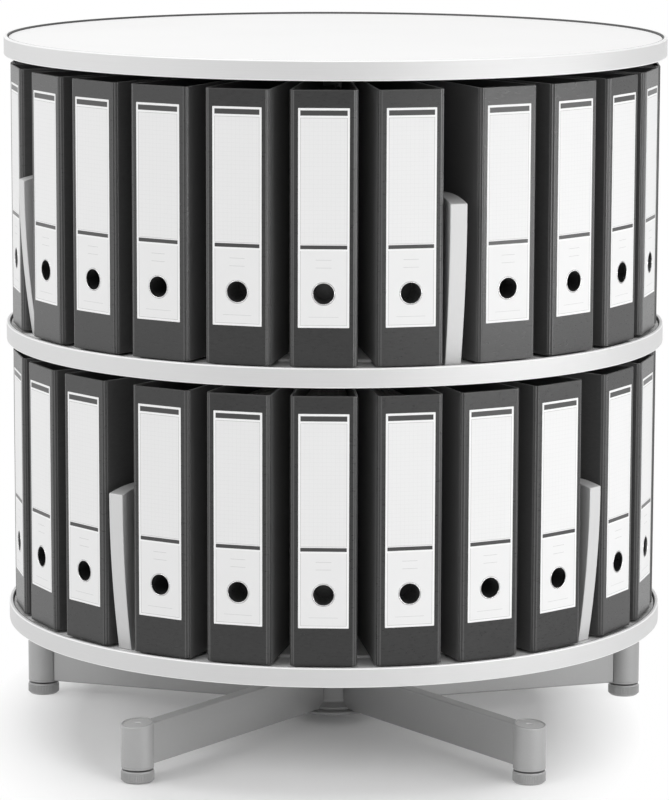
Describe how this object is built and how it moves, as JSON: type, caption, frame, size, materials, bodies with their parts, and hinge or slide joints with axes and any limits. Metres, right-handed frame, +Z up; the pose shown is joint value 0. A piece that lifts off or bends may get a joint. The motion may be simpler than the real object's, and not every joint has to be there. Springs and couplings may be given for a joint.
{
  "type": "rotary filing cabinet",
  "caption": "Round rotary filing cabinet: star-foot stand, central column, turning decks that hold lever arch files between dividers, and a fixed round top.",
  "frame": {"origin": "on the floor, on the axis of the column that both decks turn about", "axes": "+Z up along the column; -Y towards the side that the picture shows; +X to its right"},
  "size_m": [0.81, 0.8178, 0.857],
  "materials": {
    "stand_paint": "satin silver-grey powder coat",
    "column_steel": "drawn steel tube",
    "bearing_steel": "ground bearing steel",
    "deck_panel": "white melamine-faced board",
    "rim_aluminium": "satin anodised band",
    "divider_silver": "silver lacquered moulding",
    "foot_cap": "moulded grey plug",
    "label_paper": "printed spine label",
    "file_papers": "stacked sheets",
    "file_metal": "plated steel",
    "file_board": "anthracite grained board covering"
  },
  "bodies": {
    "base": {"base_plate": "stand_paint", "hub_sleeve": "stand_paint", "arm_1": "stand_paint", "arm_2": "stand_paint", "arm_3": "stand_paint", "arm_4": "stand_paint", "arm_5": "stand_paint", "post_1": "stand_paint", "post_2": "stand_paint", "post_3": "stand_paint", "post_4": "stand_paint", "post_5": "stand_paint", "column": "column_steel", "column_collar": "column_steel", "lower_bearing_seat_washer": "bearing_steel", "lower_bearing_ball_ring": "bearing_steel", "upper_bearing_seat_washer": "bearing_steel", "upper_bearing_ball_ring": "bearing_steel", "top_panel": "deck_panel", "top_rim": "rim_aluminium", "top_hub_flange": "stand_paint"},
    "lower_carousel": {"lower_bearing_turning_washer": "bearing_steel", "lower_panel": "deck_panel", "lower_rim": "rim_aluminium", "lower_hub_flange": "stand_paint", "lower_divider_1": "divider_silver", "lower_divider_2": "divider_silver", "lower_divider_3": "divider_silver", "lower_divider_4": "divider_silver", "lower_file_row_1": "file_board", "lower_file_row_2": "file_board", "lower_file_row_3": "file_board"},
    "upper_carousel": {"upper_bearing_turning_washer": "bearing_steel", "upper_panel": "deck_panel", "upper_rim": "rim_aluminium", "upper_hub_flange": "stand_paint", "upper_divider_1": "divider_silver", "upper_divider_2": "divider_silver", "upper_divider_3": "divider_silver", "upper_divider_4": "divider_silver", "upper_file_row_1": "file_board", "upper_file_row_2": "file_board", "upper_file_row_3": "file_board"},
    "levelling_foot_1": {"levelling_foot_1": "stand_paint"},
    "levelling_foot_2": {"levelling_foot_2": "stand_paint"},
    "levelling_foot_3": {"levelling_foot_3": "stand_paint"},
    "levelling_foot_4": {"levelling_foot_4": "stand_paint"},
    "levelling_foot_5": {"levelling_foot_5": "stand_paint"},
    "lower_file_1": {"lower_file_1": "file_board"},
    "lower_file_2": {"lower_file_2": "file_board"},
    "lower_file_3": {"lower_file_3": "file_board"},
    "lower_file_4": {"lower_file_4": "file_board"},
    "lower_file_5": {"lower_file_5": "file_board"},
    "lower_file_6": {"lower_file_6": "file_board"},
    "upper_file_1": {"upper_file_1": "file_board"},
    "upper_file_2": {"upper_file_2": "file_board"},
    "upper_file_3": {"upper_file_3": "file_board"},
    "upper_file_4": {"upper_file_4": "file_board"},
    "upper_file_5": {"upper_file_5": "file_board"},
    "upper_file_6": {"upper_file_6": "file_board"}
  },
  "joints": [
    {"name": "lower_carousel_turn", "type": "hinge", "parent": "base", "child": "lower_carousel", "pos_m": [0, 0, 0.157], "axis": [0, 0, 1], "continuous": true},
    {"name": "upper_carousel_turn", "type": "hinge", "parent": "base", "child": "upper_carousel", "pos_m": [0, 0, 0.507], "axis": [0, 0, 1], "continuous": true},
    {"name": "levelling_foot_1_screw", "type": "slide", "parent": "base", "child": "levelling_foot_1", "axis": [0, 0, -1], "range_m": [0, 0.01]},
    {"name": "levelling_foot_2_screw", "type": "slide", "parent": "base", "child": "levelling_foot_2", "axis": [0, 0, -1], "range_m": [0, 0.01]},
    {"name": "levelling_foot_3_screw", "type": "slide", "parent": "base", "child": "levelling_foot_3", "axis": [0, 0, -1], "range_m": [0, 0.01]},
    {"name": "levelling_foot_4_screw", "type": "slide", "parent": "base", "child": "levelling_foot_4", "axis": [0, 0, -1], "range_m": [0, 0.01]},
    {"name": "levelling_foot_5_screw", "type": "slide", "parent": "base", "child": "levelling_foot_5", "axis": [0, 0, -1], "range_m": [0, 0.01]},
    {"name": "lower_file_1_pull", "type": "slide", "parent": "lower_carousel", "child": "lower_file_1", "axis": [-0.5113, -0.8594, 0], "range_m": [0, 0.3]},
    {"name": "lower_file_2_pull", "type": "slide", "parent": "lower_carousel", "child": "lower_file_2", "axis": [-0.2798, -0.96, 0], "range_m": [0, 0.3]},
    {"name": "lower_file_3_pull", "type": "slide", "parent": "lower_carousel", "child": "lower_file_3", "axis": [-0.0305, -0.9995, 0], "range_m": [0, 0.3]},
    {"name": "lower_file_4_pull", "type": "slide", "parent": "lower_carousel", "child": "lower_file_4", "axis": [0.2207, -0.9753, 0], "range_m": [0, 0.3]},
    {"name": "lower_file_5_pull", "type": "slide", "parent": "lower_carousel", "child": "lower_file_5", "axis": [0.4579, -0.889, 0], "range_m": [0, 0.3]},
    {"name": "lower_file_6_pull", "type": "slide", "parent": "lower_carousel", "child": "lower_file_6", "axis": [0.6659, -0.7461, 0], "range_m": [0, 0.3]},
    {"name": "upper_file_1_pull", "type": "slide", "parent": "upper_carousel", "child": "upper_file_1", "axis": [-0.8647, -0.5023, 0], "range_m": [0, 0.3]},
    {"name": "upper_file_2_pull", "type": "slide", "parent": "upper_carousel", "child": "upper_file_2", "axis": [-0.7114, -0.7028, 0], "range_m": [0, 0.3]},
    {"name": "upper_file_3_pull", "type": "slide", "parent": "upper_carousel", "child": "upper_file_3", "axis": [-0.5128, -0.8585, 0], "range_m": [0, 0.3]},
    {"name": "upper_file_4_pull", "type": "slide", "parent": "upper_carousel", "child": "upper_file_4", "axis": [-0.2815, -0.9596, 0], "range_m": [0, 0.3]},
    {"name": "upper_file_5_pull", "type": "slide", "parent": "upper_carousel", "child": "upper_file_5", "axis": [-0.0323, -0.9995, 0], "range_m": [0, 0.3]},
    {"name": "upper_file_6_pull", "type": "slide", "parent": "upper_carousel", "child": "upper_file_6", "axis": [0.219, -0.9757, 0], "range_m": [0, 0.3]}
  ]
}
